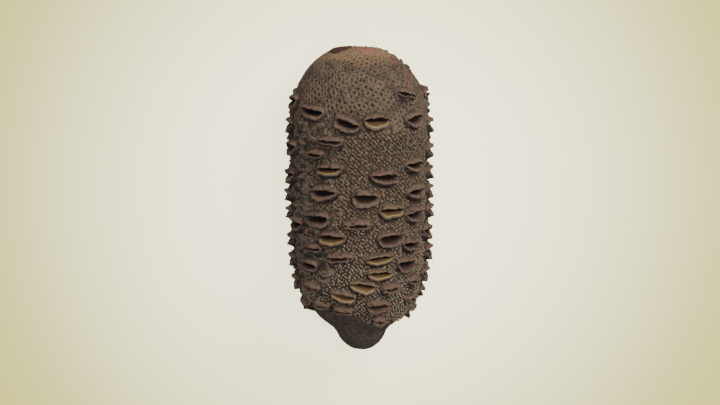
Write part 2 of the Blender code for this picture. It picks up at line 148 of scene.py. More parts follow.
# A valve's section from its root under the skin to the floor of the mouth. Shares of the
# spread of brow or chin, of the lip's own distance, of the lips' height and of the depth
Station = namedtuple("Station", "spread lip rise depth reach power")
UPPER_VALVE = (
    Station(1.08, 0.00, -0.30, 0.0, 1.08, 0.85), Station(1.00, 0.00, 0.00, 0.0, 1.02, 0.85),
    Station(0.84, 0.03, 0.24, 0.0, 0.99, 0.88), Station(0.60, 0.16, 0.54, 0.0, 0.97, 0.92),
    Station(0.42, 0.46, 0.83, 0.0, 0.96, 0.95), Station(0.22, 0.80, 0.97, 0.0, 0.95, 0.98),
    Station(0.00, 0.98, 0.97, 0.0, 0.93, 1.00), Station(0.00, 0.86, 0.90, 0.0, 0.90, 1.00),
    Station(0.00, 0.72, 0.72, 0.0, 0.85, 1.00), Station(0.00, 0.58, 0.48, 0.05, 0.78, 1.00),
    Station(0.00, 0.42, 0.24, 0.3, 0.66, 1.00), Station(0.00, 0.20, 0.06, 0.75, 0.50, 1.00),
    Station(0.00, -0.04, 0.00, 1.0, 0.36, 1.00),
)
LOWER_VALVE = (
    Station(1.08, 0.00, -0.30, 0.0, 1.08, 0.85), Station(1.00, 0.00, 0.00, 0.0, 1.02, 0.83),
    Station(0.70, 0.34, 0.26, 0.0, 1.00, 0.80), Station(0.32, 0.78, 0.52, 0.0, 0.98, 0.76),
    Station(0.06, 1.06, 0.76, 0.0, 0.97, 0.74), Station(0.00, 1.12, 0.90, 0.0, 0.96, 0.72),
    Station(0.00, 1.03, 0.97, 0.0, 0.94, 0.72), Station(0.00, 0.89, 0.96, 0.0, 0.92, 0.74),
    Station(0.00, 0.75, 0.84, 0.0, 0.87, 0.78), Station(0.00, 0.60, 0.58, 0.05, 0.80, 0.82),
    Station(0.00, 0.42, 0.28, 0.35, 0.68, 0.88), Station(0.00, 0.20, 0.06, 0.8, 0.52, 0.95),
    Station(0.00, 0.04, 0.00, 1.0, 0.36, 1.00),
)
ROUND_POINTS, SECTION_POINTS = 44, 25
SECTION_LENGTH = 14.0      # of a valve's section laid flat, for the run of its grain
# Waves round a mouth, as size, rate and shift: of the lips' line and of the valves' surface
LIP_WAVES = ((0.34, 3, 1), (0.25, 7, -2), (0.18, 13, 3))
VALVE_LUMPS = ((0.20, 5, 3), (0.16, 11, 1), (0.10, 19, -2))
# A golden blade: its steps along and round, the angle that it leaves free at the mouth's
# corners, the steps of the section that it spans, its distance off the valve, half its
# thickness, how much further off its inner edge stands, and the waves of its ragged edge
BLADE_STEPS, BLADE_LOOP, BLADE_END = 30, 14, 0.20
BLADE_EDGE, BLADE_DEEP = 0.615, 0.95
BLADE_OFF, BLADE_THICK, BLADE_LEAN = 0.30, 0.24, 1.5
BLADE_WAVES = ((0.010, 37, 0), (0.008, 71, 1), (0.006, 113, 2))

# Bracts

# Square millimetres of surface for each bract, and its radius and height: the loose ones
# low down, the crowded ones of the middle, and the tight ones of the crown
Bract = namedtuple("Bract", "area radius tall")
LOOSE, CROWDED, TIGHT = Bract(4.2, 0.8, 0.9), Bract(4.7, 1.06, 0.95), Bract(12.6, 2.5, 0.8)
BRACT_LOW, BRACT_HIGH = 17.5, 208.1      # heights between which they stand
TIGHT_FROM, TIGHT_TO = 148.0, 164.0      # heights over which they close up
LOOSE_FROM, LOOSE_TO = 82.0, 50.0        # and over which they come apart
PITS_FADE, PITS_END = 199.0, 208.0       # and over which their pits fade at the crown
# A bract from its buried foot to its middle: share of the radius, height and lightness. The
# lightness is painted shade, dark at the buried foot between bracts and in a funnel's pit. A
# loose or crowded one is a knob, a tight one a ring round a funnel
Ring = namedtuple("Ring", "reach lift light")
KNOB = (Ring(1.0, -1.0, 0.0), Ring(1.0, 0.30, 0.45), Ring(0.72, 0.82, 0.85),
        Ring(0.36, 1.02, 1.0), Ring(0.0, 1.08, 1.0))
FUNNEL = (Ring(1.0, -1.0, 0.0), Ring(0.98, 0.93, 0.9), Ring(0.60, 1.0, 1.0),
          Ring(0.36, 0.15, 0.30), Ring(0.0, -1.0, 0.0))
HUMPED = (0, 0.2, 1, 1)     # how far each ring of a funnel takes part in its two humps
BEAD_ROUND, BURIED, BEAD_SINK = 8, -1.9, 0.45
# How far a knob leans up the cone, how much each bract tilts and how much less a tight one
# does, the share by which a funnel's humps rise, and the spread of the bracts' radius and
# height, with how much less that of a tight one's height is
KNOB_LEAN, TILT, TIGHT_TILT_LESS, HUMP_RISE = 0.4, 0.22, 0.17, 0.2
BEAD_SIZE_SPREAD, BEAD_TALL_SPREAD, TIGHT_TALL_LESS = 0.12, 0.16, 0.12
PIT_SIZES, PIT_DEPTHS = (0.65, 1.35), (0.65, 1.1)       # shares of the funnel's own
WORN_LESS = 0.4            # share of its height and its pit's depth that a worn bract loses
STRAY = 0.34               # spread of the bracts about their places in the spiral
# How near a bract may stand to a gaping chin, to a brow and to a shut chin
CHIN_NEAREST, BROW_NEAREST, SHUT_NEAREST = 0.05, 0.42, 0.72
BRACT_SPLIT = (75.0, 140.0)              # heights that part the three pieces of bracts
# Level of the skin among funnels, among knobs, by follicles and where all is worn
SKIN_CROWN, SKIN_BODY, SKIN_NEAR, SKIN_WORN = -1.0, -0.8, -0.5, -0.25
STALK_LEVEL = -0.36
SKIN_AROUND, SKIN_ROWS = 300, 270
MOUTH_SINK = 3.6           # the skin dips this far under the mouths
STALK_SINK = 0.03          # and lies this far under the outline at the stalk
# Lumps of the skin, each the product of two waves: size, then both waves' rates round and up
SKIN_LUMPS = ((0.20, (41, 0.5), (-13, 1.1)), (0.16, (67, -1.3), (29, 1.9)),
              (0.10, (103, 2.1), (-37, 2.9)))
BROW_SLOPE = 4.4           # height of a brow's surface for each unit of nearness
FOOT_HEIGHT, FOOT_CLIMB = 22.5, 11       # of the smooth foot, and how much more on the left
FOOT_RAGGED = 1.2          # spread of the lowest bracts about the foot's line
WORN_FROM, WORN_TO = (42, 56), (156, 172)   # heights over which the worn band comes and goes

# Woody scales left on the crown: across and towards the seen side from the axis, half width
# and half depth, and height above the bracts. The large one is in the solid too
Scale = namedtuple("Scale", "across toward wide deep rise")
LARGE_SCALE = Scale(-11.6, 2.0, 7.2, 13.0, 0.9)
CRUMBS = 26
CRUMB_WIDE, CRUMB_DEEP, CRUMB_RISE = (0.35, 1.0), (0.9, 1.6), (0.2, 1.1)
CRUMB_CLIMB = 0.02         # crumbs stand this much higher for each millimetre to the right
# The crown's skyline as the camera sees it: across, and towards the seen side
CROWN_SKYLINE = ((-6.0, -9.0), (0.0, -9.6), (9.5, -8.0), (16.0, -5.8), (24.0, -4.2),
                 (36.0, -2.3))
SCALE_ROUND = 28
# Rings of a scale from the middle of its top to that below: share of its size and height
SCALE_SECTION = ((0.3, 1.0), (0.62, 1.04), (0.88, 1.0), (1.0, 0.72), (1.0, 0.1), (0.9, -0.4),
                 (0.5, -0.4))
SCALE_BURIED = -0.5

# Colours, as red, green and blue out of 255

GROUND, GROUND_DEEP, GROUND_WORN = (80, 68, 59), (68, 56, 47), (118, 106, 92)
GROUND_RED, GROUND_OLIVE = (112, 82, 72), (94, 86, 68)
STALK, STALK_GREY = (69, 59, 52), (97, 84, 74)
BRACT_BROWN, BRACT_TAN, BRACT_GREY = (97, 81, 67), (126, 108, 90), (107, 98, 86)
BRACT_PALE, BRACT_OLIVE = (138, 127, 108), (168, 136, 102)
CROWN_PINK, CROWN_ORANGE = (182, 122, 106), (150, 92, 70)
VALVE_BROWN, VALVE_TAN, VALVE_PINK = (86, 73, 64), (124, 104, 87), (112, 94, 85)
VALVE_ORANGE, VALVE_DARK = (138, 104, 84), (50, 42, 40)
# The rim's tan is partly a painted highlight where the lower lip catches the light.
RIM_TAN, RIM_DARK = (124, 107, 95), (74, 62, 58)
# The third inside colour is painted shade, deep in a mouth and under the upper lip.
INSIDE_TAN, INSIDE_BROWN, INSIDE_PAINTED_SHADE = (126, 102, 83), (93, 71, 60), (46, 36, 34)
# The second gold is a painted highlight along a blade's outer edge, and the brown partly painted
# shade deeper in the mouth, partly the blades' own streaks.
GOLD, GOLD_PAINTED_HIGHLIGHT, GOLD_BROWN = (112, 92, 60), (166, 141, 92), (82, 62, 45)
SCALE_BROWN, SCALE_DARK = (92, 58, 50), (44, 27, 25)
FLOOR_CREAM, FLOOR_EDGE = (250, 247, 203), (160, 156, 85)

OLIVE_FROM, OLIVE_TO = 202.0, 211.0      # heights over which the crown turns olive
# Patches of colour on the crown, as they show across and along the cone from its middle:
# middle, reach, strength and colour
CROWN_SPOTS = (
    ((4.5, 103.4), (9.0, 3.4), 0.75, CROWN_PINK), ((25.5, 96.0), (6.0, 3.4), 0.45, CROWN_ORANGE),
    ((12.0, 100.5), (8.0, 2.6), 0.35, CROWN_PINK), ((33.5, 84.0), (4.0, 9.0), 0.25, CROWN_ORANGE),
    ((1.0, 94.0), (8.0, 2.6), 0.25, CROWN_ORANGE), ((-12.0, 98.0), (9.0, 2.6), 0.45, BRACT_OLIVE),
)

# Camera and light

PIXELS_WIDE, PIXELS_HIGH = 720, 405
MM_PER_PIXEL = 0.686
AXIS_PIXEL_X, MIDDLE_PIXEL_Y = 359.8, 198.4
CAMERA_LENS, SENSOR_WIDTH = 135.0, 36.0
FLOOR_HALF = 4.0           # half the floor's width in metres
FLOOR_GLOW = 2.36
SPECULAR = 0.2             # every surface is dull
# Lights: name, place and size in metres, power and colour
Light = namedtuple("Light", "name place size power colour")
LIGHTS = (Light("key", (0.80, 0.9, 1.30), 0.7, 22, (1.0, 0.97, 0.93)),
          Light("top", (0.3, 0.2, 2.2), 1.2, 18, (1.0, 0.98, 0.95)))
LIT_POINT = (0, 0, 0.04)
SURROUND, SURROUND_STRENGTH = (0.97, 0.98, 1.0, 1.0), 0.44


def linear(colour):
    """Screen colour out of 255 to the linear values that shaders use."""
    share = np.array(colour, float) / 255
    curved = np.where(share <= 0.04045, share / 12.92, ((share + 0.055) / 1.055) ** 2.4)
    return (*(float(v) for v in curved), 1.0)


def smooth_step(value, low, high):
    """Cubic ease from 0 at low to 1 at high."""
    share = np.clip((value - low) / (high - low), 0, 1)
    return share * share * (3 - 2 * share)


def smooth_curve(points, steps):
    """Catmull-Rom curve through the points, with the end tangents mirrored at both poles."""
    pts = np.array(points, float)
    ring = np.vstack([pts[1] * (-1, 1), pts, pts[-2] * (-1, 1)])
    t = np.arange(steps)[:, None] / steps
    spans = []
    for a, b, c, d in zip(ring[:-3], ring[1:-2], ring[2:-1], ring[3:]):
        spans.append(0.5 * (2 * b + (c - a) * t + (2 * a - 5 * b + 4 * c - d) * t**2
                            + (3 * b - a - 3 * c + d) * t**3))
    return np.vstack(spans + [pts[-1:]])


def swelling(bearing, height):
    """Slow unevenness of the body: three waves round it that drift with the height."""
    return (0.45 * np.sin(2 * bearing + height / 31) + 0.35 * np.sin(3 * bearing - height / 19)
            + 0.25 * np.sin(5 * bearing + height / 13))


def waves(table, angle, phase):
    """Sum of sine waves, each with its size, its rate and its share of the phase."""
    return sum(size * np.sin(rate * angle + shift * phase) for size, rate, shift in table)


def on_axis(height):
    """Place along Y in metres of a height above the stalk's end."""
    return (height - LENGTH / 2) * MM


class Body:
    """The bare body: its outline by distance along it, and points of it turned round Y."""

    def __init__(self):
        curve = smooth_curve(OUTLINE, STEPS_PER_SPAN)
        self.radius, self.height = np.maximum(curve[:, 0], 0), curve[:, 1]
        step = np.hypot(np.diff(self.radius), np.diff(self.height))
        self.along = np.concatenate([[0], np.cumsum(step)])
        slope_r = np.gradient(self.radius, self.along)
        slope_h = np.gradient(self.height, self.along)
        size = np.hypot(slope_r, slope_h)
        self.out_r, self.out_h = slope_h / size, -slope_r / size
        mid_radius = (self.radius[1:] + self.radius[:-1]) / 2
        self.area = np.concatenate([[0], np.cumsum(TURN * step * mid_radius)])

    def along_at_height(self, height):
        return np.interp(height, self.height, self.along)

    def height_at(self, along):
        return np.interp(along, self.along, self.height)

    def radius_at(self, along):
        return np.interp(along, self.along, self.radius)

    def on_crown(self, across, toward):
        """Bearing and distance along of places on the crown, measured from the axis."""
        top = self.height > LENGTH * 0.8
        along = np.interp(np.hypot(across, toward), self.radius[top][::-1], self.along[top][::-1])
        return np.arctan2(across, toward), along

    def point(self, bearing, along, rise):
        """Outline point at that distance, raised along the normal and turned to the bearing.

        The result lies down on the surface: the axis along Y, the seen side up.
        """
        radius, height = self.radius_at(along), self.height_at(along)
        out_r = np.interp(along, self.along, self.out_r)
        out_h = np.interp(along, self.along, self.out_h)
        rise = rise + swelling(bearing, height) * np.clip(radius / 30, 0, 1)
        r, h = radius + rise * out_r, height + rise * out_h
        share = height / LENGTH
        lean = CROWN_LEAN * share**4 + STALK_LEAN * (1 - share) ** 8
        x = r * np.sin(bearing) + lean + AXIS_ASIDE
        z = np.maximum(r * np.cos(bearing) + AXIS_HEIGHT, 0.0)
        return np.stack([x, h - LENGTH / 2, z], axis=-1)


# Placing the follicles, by the same rule as the solid

def seen_to_body(body, seen):
    """Bearing, distance along and true slope of a follicle from where it shows."""
    along = body.along_at_height(seen.up)
    for _ in range(4):
        radius = body.radius_at(along)
        bearing = math.asin(max(-1.0, min(1.0, seen.across / radius)))
        height = seen.up + radius * math.cos(bearing) * math.tan(SEEN_FROM_ABOVE)
        along = body.along_at_height(height)
    inside = abs(bearing) < EDGE_BEARING
    fall = math.tan(bearing) * math.sin(SEEN_FROM_ABOVE) if inside else 0.0
    slope = math.atan((math.tan(math.radians(seen.slope)) - fall) * math.cos(bearing))
    return Follicle(bearing, along, seen.length, slope, seen.mouth, LIP_HEIGHT, 1.0)


def turn_between(a, b):
    return (a - b + math.pi) % TURN - math.pi


def far_enough(body, bearing, along, others):
    """True where the spot is outside every other follicle's elliptical patch."""
    radius = body.radius_at(along)
    for other in others:
        round_gap = turn_between(bearing, other.bearing) * radius / SPACING_ROUND
        up_gap = (along - other.along) / SPACING_UP
        if math.hypot(round_gap, up_gap) < 1.0:
            return False
    return True


def lip_limit(body, bearing, along):
    """Height of the lips at which they would come down to the surface, less a gap."""
    down = max(0.5, -math.cos(bearing))
    return (AXIS_HEIGHT - UNDER_GAP) / down - body.radius_at(along)


def room(body, follicle, others):
    """Share of the full spread that leaves the follicles above and below clear."""
    share = WIDEST
    for other in others:
        if other is follicle:
            continue
        radius = body.radius_at((follicle.along + other.along) / 2)
        round_gap = turn_between(follicle.bearing, other.bearing) * radius
        up_gap = follicle.along - other.along
        cos, sin = math.cos(follicle.slope), math.sin(follicle.slope)
        u, w = round_gap * cos + up_gap * sin, up_gap * cos - round_gap * sin
        reach = (follicle.length + other.length) / 2 + 2 * END_SPREAD
        overlap = 1 - (u / reach) ** 2
        if overlap > LEAST_OVERLAP:
            share = min(share, abs(w) / (FULL_SPREAD * math.sqrt(overlap)))
    return max(NARROWEST, share)


def place_follicles(body):
    """Those that show, the four to rest on, then seeded darts wherever one still fits."""
    follicles = [seen_to_body(body, seen) for seen in SEEN_FOLLICLES]
    for height in REST_HEIGHTS:
        for turn in REST_BEARINGS:
            follicles.append(Follicle(math.pi + turn, body.along_at_height(height), REST_LENGTH,
                                      0.0, "rest", REST_LIP_HEIGHT, 1.0))
    draw = random.Random(SEED)
    low, high = body.along_at_height(HIDDEN_LOWEST), body.along_at_height(HIDDEN_HIGHEST)
    for _ in range(HIDDEN_TRIES):
        bearing = draw.uniform(*HIDDEN_BEARINGS)
        along = draw.uniform(low, high)
        size, slope = draw.uniform(*HIDDEN_LENGTHS), math.radians(draw.gauss(0, HIDDEN_SLOPE))
        mouth = draw.choice(HIDDEN_MOUTHS)
        if far_enough(body, bearing, along, follicles):
            lip = min(LIP_HEIGHT, lip_limit(body, bearing, along))
            follicles.append(Follicle(bearing, along, size, slope, mouth, lip, 1.0))
    return [follicle._replace(spread=room(body, follicle, follicles)) for follicle in follicles]


def to_mouth(body, follicle, bearing, along):
    """Places on the body in a mouth's own axes: u along the mouth, w up from its line."""
    across = (bearing - follicle.bearing + math.pi) % TURN - math.pi
    across = across * body.radius_at(along)
    up = along - follicle.along
    cos, sin = math.cos(follicle.slope), math.sin(follicle.slope)
    return across * cos + up * sin, up * cos - across * sin


def nearness(body, follicles, bearing, along, side=0):
    """For each place, 1 at a follicle's middle, 0 on the ellipse of its foot, and below.

    A side of 1 looks at brows alone. A side of -1 looks at chins alone, with their ellipse
    stretched to where no bract stands.
    """
    best = np.full(np.shape(bearing), -9.0)
    for follicle in follicles:
        u, w = to_mouth(body, follicle, bearing, along)
        chin = CHIN_SPREAD * (MOUTHS[follicle.mouth].bare if side else 1.0)
        reach = np.where(w > 0, BROW_SPREAD, chin) * follicle.spread
        value = 1 - (u / (follicle.length / 2 + END_SPREAD)) ** 2 - (w / reach) ** 2
        best = np.maximum(best, np.where(side * w >= 0, value, -9.0))
    return best


# Meshes

def make_piece(name, points, faces, material, values, uv=None):
    """Mesh from whole arrays. Points in millimetres, faces of three or four, values by point."""
    mesh = bpy.data.meshes.new(name)
    flat = np.concatenate([np.ravel(part) for part in faces]).astype(np.int32)
    sizes = np.concatenate([np.full(len(part), part.shape[1]) for part in faces])
    starts = np.concatenate([[0], np.cumsum(sizes)[:-1]])
    mesh.vertices.add(len(points))
    mesh.vertices.foreach_set("co", np.ravel(points * MM).astype(np.float32))
    mesh.loops.add(len(flat))
    mesh.loops.foreach_set("vertex_index", flat)
    mesh.polygons.add(len(sizes))
    mesh.polygons.foreach_set("loop_start", starts.astype(np.int32))
    mesh.polygons.foreach_set("loop_total", sizes.astype(np.int32))
    mesh.update(calc_edges=True)
    mesh.polygons.foreach_set("use_smooth", np.ones(len(sizes), bool))
    for key, value in values.items():
        layer = mesh.attributes.new(key, "FLOAT", "POINT")
        layer.data.foreach_set("value", np.ravel(value).astype(np.float32))
    if uv is not None:
        layer = mesh.uv_layers.new(name="run")
        layer.data.foreach_set("uv", np.ravel(uv[flat]).astype(np.float32))
    mesh.validate()
    mesh.materials.append(material)
    piece = bpy.data.objects.new(name, mesh)
    bpy.context.scene.collection.objects.link(piece)
    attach(piece, BODY_NAME)
    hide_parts(NODE)


def tube_faces(rings, around):
    """Quads between rings of points that run anticlockwise as seen from the last ring."""
    ring, spoke = np.meshgrid(np.arange(rings - 1), np.arange(around), indexing="ij")
    here, beside = ring * around + spoke, ring * around + (spoke + 1) % around
    return np.stack([here, beside, beside + around, here + around], axis=-1).reshape(-1, 4)


def cap_faces(first, around, pole, outward):
    """Triangles from a ring to its pole."""
    spoke = np.arange(around)
    a, b = first + spoke, first + (spoke + 1) % around
    pair = (a, b) if outward else (b, a)
    return np.stack([*pair, np.full(around, pole)], axis=-1)


def repeat_faces(faces, copies, points_each):
    """The same faces for each copy, counted on past the last copy's points."""
    step = np.arange(copies)[:, None, None] * points_each
    return (faces[None] + step).reshape(-1, faces.shape[1])


# Shader maths

class Wire:
    """A shader output that takes part in sums: each operator adds one Math node."""

    def __init__(self, graph, socket):
        self.graph, self.socket = graph, socket

    def maths(self, operation, *terms):
        return self.graph.add("ShaderNodeMath", {"operation": operation},
                              dict(enumerate(terms)))

    def __add__(self, other):
        return self.maths("ADD", self, other)

    def __mul__(self, other):
        return self.maths("MULTIPLY", self, other)

    def __sub__(self, other):
        return self.maths("SUBTRACT", self, other)

    def __rsub__(self, other):
        return self.maths("SUBTRACT", other, self)

    def __truediv__(self, other):
        return self.maths("DIVIDE", self, other)

    __radd__, __rmul__ = __add__, __mul__


class Graph:
    """A material's nodes round its Principled shader."""

    def __init__(self, name):
        self.material = bpy.data.materials.new(name)
        self.material.use_nodes = True
        self.tree = self.material.node_tree
        self.shader = self.tree.nodes["Principled BSDF"]

    def add(self, kind, settings=None, inputs=None, out=0):
        """One node: its type, its settings, then what its sockets hold or are linked to."""
        node = self.tree.nodes.new(kind)
        for key, value in (settings or {}).items():
            setattr(node, key, value)
        for key, value in (inputs or {}).items():
            self.feed(node.inputs[key], value)
        return Wire(self, node.outputs[out])

    def feed(self, socket, value):
        if isinstance(value, Wire):
            self.tree.links.new(value.socket, socket)
        else:
            socket.default_value = value

    def place(self):
        return self.add("ShaderNodeTexCoord", out="Object")

    def along_axis(self, vector, axis):
        return self.add("ShaderNodeSeparateXYZ", inputs={0: vector}, out=axis)

    def value(self, name):
        return self.add("ShaderNodeAttribute", {"attribute_name": name}, out="Fac")

    def noise(self, vector, size, detail=3.0, roughness=0.55):
        """Cloudy noise from 0 to 1, with blotches about the given size in millimetres."""
        return self.add("ShaderNodeTexNoise",
                        inputs={"Vector": vector, "Scale": 1 / (size * MM), "Detail": detail,
                                "Roughness": roughness}, out="Fac")

    def stretched(self, vector, scale):
        return self.add("ShaderNodeMapping", inputs={"Vector": vector, "Scale": scale})

    def ease(self, value, low, high):
        """0 below low, 1 above high, and a smooth step between."""
        return self.add("ShaderNodeMapRange", {"interpolation_type": "SMOOTHSTEP"},
                        {"Value": value, "From Min": low, "From Max": high})

    def mix(self, share, first, second):
        """Blend of two colours: tuples out of 255, or wires."""
        ends = [end if isinstance(end, Wire) else linear(end) for end in (first, second)]
        return self.add("ShaderNodeMix", {"data_type": "RGBA"},
                        {0: share, 6: ends[0], 7: ends[1]}, out=2)

    def shade(self, colour, share):
        """The colour times a number from a wire."""
        return self.add("ShaderNodeVectorMath", {"operation": "SCALE"},
                        {0: colour, "Scale": share})

    def bump(self, height, depth, strength=1.0):
        """Normal of a relief whose whole height is the depth in millimetres."""
        return self.add("ShaderNodeBump", inputs={"Height": height, "Distance": depth * MM,
                                                  "Strength": strength})

    def finish(self, colour, roughness, normal=None):
        self.feed(self.shader.inputs["Base Color"], colour)
        self.feed(self.shader.inputs["Roughness"], roughness)
        self.shader.inputs["Specular IOR Level"].default_value = SPECULAR
        if normal is not None:
            self.feed(self.shader.inputs["Normal"], normal)
        return self.material


def spot(graph, place, middle, reach, noise):
    """Soft-edged oval about a place across and along the cone, ragged by a noise.

    It runs through the cone's whole depth, so it is on the far side too.
    """
    parts = []
    for axis, centre, size in zip("XY", middle, reach):
        offset = (graph.along_axis(place, axis) - centre * MM) / (size * MM)
        parts.append(offset * offset)
    return graph.ease(1.5 - parts[0] - parts[1] - noise * 1.6, 0.0, 0.5)


def risen(graph, place, first, last):
    """0 below the first height on the cone and 1 above the last."""
    return graph.ease(graph.along_axis(place, "Y"), on_axis(first), on_axis(last))


def crown_tints(graph, place, colour, cloud):
    """Olive top, then the patches of pink, rust and olive."""
    height = graph.along_axis(place, "Y")
    fine_cloud = graph.noise(place, 2.4, 5.0, 0.75)
    ragged = height + cloud * 0.008 + fine_cloud * 0.004
    share = graph.ease(ragged, on_axis(OLIVE_FROM), on_axis(OLIVE_TO))
    colour = graph.mix(share * 0.75, colour, BRACT_OLIVE)
    for middle, reach, strength, tint in CROWN_SPOTS:
        share = spot(graph, place, middle, reach, fine_cloud)
        colour = graph.mix(share * strength, colour, tint)
    return colour


def worn_wood(graph, place, cloud):
    """Colour of ground worn smooth, brown with reddish and olive clouds, and its mottle."""
    mottle = graph.noise(place, 2.2, 5.0, 0.7)
    patch = graph.noise(graph.stretched(place, (0.6, 1.4, 0.6)), 4.6, 5.0, 0.6)
    colour = graph.mix(graph.ease(mottle, 0.38, 0.62), GROUND, GROUND_WORN)
    colour = graph.mix(graph.ease(cloud, 0.52, 0.66) * 0.45, colour, GROUND_RED)
    olive = graph.ease(graph.noise(place, 5.0, 4.0), 0.54, 0.68)
    colour = graph.mix(olive * 0.6, colour, GROUND_OLIVE)
    return graph.shade(colour, 0.36 + 1.3 * graph.ease(patch, 0.38, 0.62)), mottle


def ground_wood():
    """Felted dark wood between the bracts, and the stalk with its faint grain."""
    graph = Graph("banksia_ground")
    place = graph.place()
    felt = graph.noise(place, 1.1, 5.0, 0.65)
    stalk = graph.ease(graph.value("foot") + felt * 0.4, 0.45, 0.95)
    blotch = graph.noise(place, 9.0, 3.0)
    grain = graph.noise(graph.stretched(place, (0.4, 1.0, 0.4)), 1.3, 5.0, 0.7)
    worn = graph.value("worn")
    ground = graph.mix(graph.ease(felt, 0.35, 0.7), GROUND_DEEP, GROUND)
    ground = graph.mix(risen(graph, place, TIGHT_FROM, TIGHT_TO) * 0.55, ground, BRACT_BROWN)
    smooth, mottle = worn_wood(graph, place, blotch)
    ground = graph.mix(worn, ground, graph.shade(smooth, 0.6 + 0.8 * felt))
    bark = graph.mix(graph.ease(grain, 0.40, 0.66), STALK, STALK_GREY)
    bark = graph.shade(bark, 0.5 + 0.5 * blotch + 0.4 * felt)
    colour = graph.mix(stalk, ground, bark)
    relief = felt * 0.8 + grain * stalk * 1.2 + mottle * worn * 1.4
    return graph.finish(colour, 0.75 + 0.15 * blotch, graph.bump(relief, 0.8, 1.0))


def bract_wood():
    """Bracts: painted shade in the gaps and pits, dull tan on top, olive and pink at the crown."""
    graph = Graph("banksia_bract")
    place = graph.place()
    light, tone, worn = graph.value("light"), graph.value("tone"), graph.value("worn")
    crown = risen(graph, place, TIGHT_FROM, TIGHT_TO)
    low = 1 - risen(graph, place, LOOSE_TO, LOOSE_FROM)
    cloud = graph.noise(place, 14.0, 4.0)
    speck = graph.noise(place, 0.9, 5.0, 0.7)
    fine_cloud = graph.noise(place, 3.2, 3.0)
    top = graph.mix(graph.ease(tone * 0.8 + fine_cloud * 0.8, 0.4, 1.1), BRACT_BROWN, BRACT_TAN)
    top = graph.mix(graph.ease(cloud, 0.45, 0.7) * (0.7 - 0.4 * crown), top, BRACT_GREY)
    top = graph.mix(low * 0.7, top, BRACT_PALE)
    blush = graph.ease(graph.noise(place, 6.0, 3.0), 0.60, 0.74)
    top = graph.mix(blush * 0.35, top, CROWN_ORANGE)
    top = crown_tints(graph, place, top, cloud)
    smooth = worn_wood(graph, place, cloud)[0]
    top = graph.mix(worn, top, smooth)
    # Painted shade: by each point's lightness the gaps between bracts and the pits take the dark
    # ground colour.
    gap = graph.mix(worn * 0.7, GROUND_DEEP, GROUND)
    colour = graph.mix(graph.ease(light + speck * 0.3, 0.3, 1.0), gap, top)
    speckled = (0.5 - 0.2 * crown) + (0.95 + 0.4 * crown) * speck
    fade = 1.12 - 0.24 * risen(graph, place, LOOSE_TO, TIGHT_FROM) - 0.04 * crown
    colour = graph.shade(colour, speckled * fade)
    return graph.finish(colour, 0.82, graph.bump(speck, 0.5, 0.9))


def valve_wood():
    """Valves: crusted foot, tan brow with pink and orange patches, and a dark chin with a rim.
    The chin's dark is partly its own wood and partly painted shade under the lower lip, and the
    rim's pale tan partly a painted highlight where the lip catches the light.
    The inside is warm at the lower lip and darkens with the depth and under the upper lip: this
    darkening is painted shade.
    """
    graph = Graph("banksia_valve")
    place = graph.place()
    section, upper = graph.value("section"), graph.value("upper")
    tone = graph.value("tone")
    run = graph.add("ShaderNodeUVMap", {"uv_map": "run"})
    grain = graph.noise(graph.stretched(run, (1.0, 0.18, 1.0)), 0.9, 4.0, 0.6)
    cloud = graph.noise(place, 3.6, 4.0, 0.65)
    speck = graph.noise(place, 0.8, 4.0, 0.65)
    scab = graph.add("ShaderNodeTexVoronoi", {"feature": "F1"},
                     {"Vector": place, "Scale": 1 / (2.6 * MM)}, out="Distance")
    patch = graph.noise(place, 5.5, 4.0, 0.7)
    base = graph.mix(graph.ease(cloud, 0.40, 0.62), VALVE_DARK, VALVE_BROWN)
    light = graph.mix(graph.ease(tone + cloud * 0.6, 0.6, 1.25), VALVE_TAN, VALVE_PINK)
    light = graph.mix(graph.ease(patch + tone * 0.15, 0.55, 0.68) * 0.7, light, VALVE_ORANGE)
    share = graph.ease(section + cloud * 0.34, 0.26, 0.48)
    brow = graph.mix(share * graph.ease(cloud, 0.26, 0.50), base, light)
    brow = graph.mix(graph.ease(speck * 0.5 + patch * 0.7, 0.62, 0.74) * 0.6, brow, VALVE_DARK)
    foot = 1 - graph.ease(section + speck * 0.12, 0.16, 0.34)
    crust = graph.mix(graph.ease(scab, 0.25, 0.6), BRACT_BROWN, GROUND)
    brow = graph.mix(foot * 0.85, brow, crust)
    # The lower valve's outer face is painted dark: partly its own wood, partly painted shade under
    # the lower lip.
    chin = graph.mix(graph.ease(cloud, 0.45, 0.7) * 0.7, VALVE_DARK, GROUND_WORN)
    outer = graph.mix(upper, chin, brow)
    # The pale rim along the lower lip is partly a painted highlight where the lip catches the
    # light.
    rim = graph.ease(section + speck * 0.06, 0.40, 0.48) * (1 - upper)
    tanned = graph.mix(graph.ease(patch, 0.52, 0.7), RIM_TAN, VALVE_ORANGE)
    tanned = graph.mix(graph.ease(cloud, 0.50, 0.66) * 0.8, tanned, RIM_DARK)
    outer = graph.mix(rim * (0.45 + 0.7 * grain), outer, tanned)
    warm = graph.mix(graph.ease(cloud + tone * 0.4, 0.5, 0.9), INSIDE_TAN, INSIDE_BROWN)
    # Painted shade: the inside darkens with the depth, and on the upper valve under its lip.
    inner = graph.mix(graph.ease(section + speck * 0.08, 0.72, 0.90), warm, INSIDE_PAINTED_SHADE)
    inner = graph.mix(upper * 0.85, inner, INSIDE_PAINTED_SHADE)
    lip_line = 0.62 - 0.08 * upper
    inside = graph.ease(section + speck * 0.05 - lip_line, -0.03, 0.07)
    colour = graph.mix(inside, outer, inner)
    colour = graph.shade(colour, 0.26 + 0.5 * grain + 0.95 * speck)
    crusty = foot * (1 - graph.ease(scab, 0.1, 0.6))
    relief = graph.bump(grain * 0.6 + speck * 1.0 + cloud * 1.2 + crusty * 1.5, 1.0, 1.0)
    return graph.finish(colour, 0.7 + 0.2 * cloud, relief)


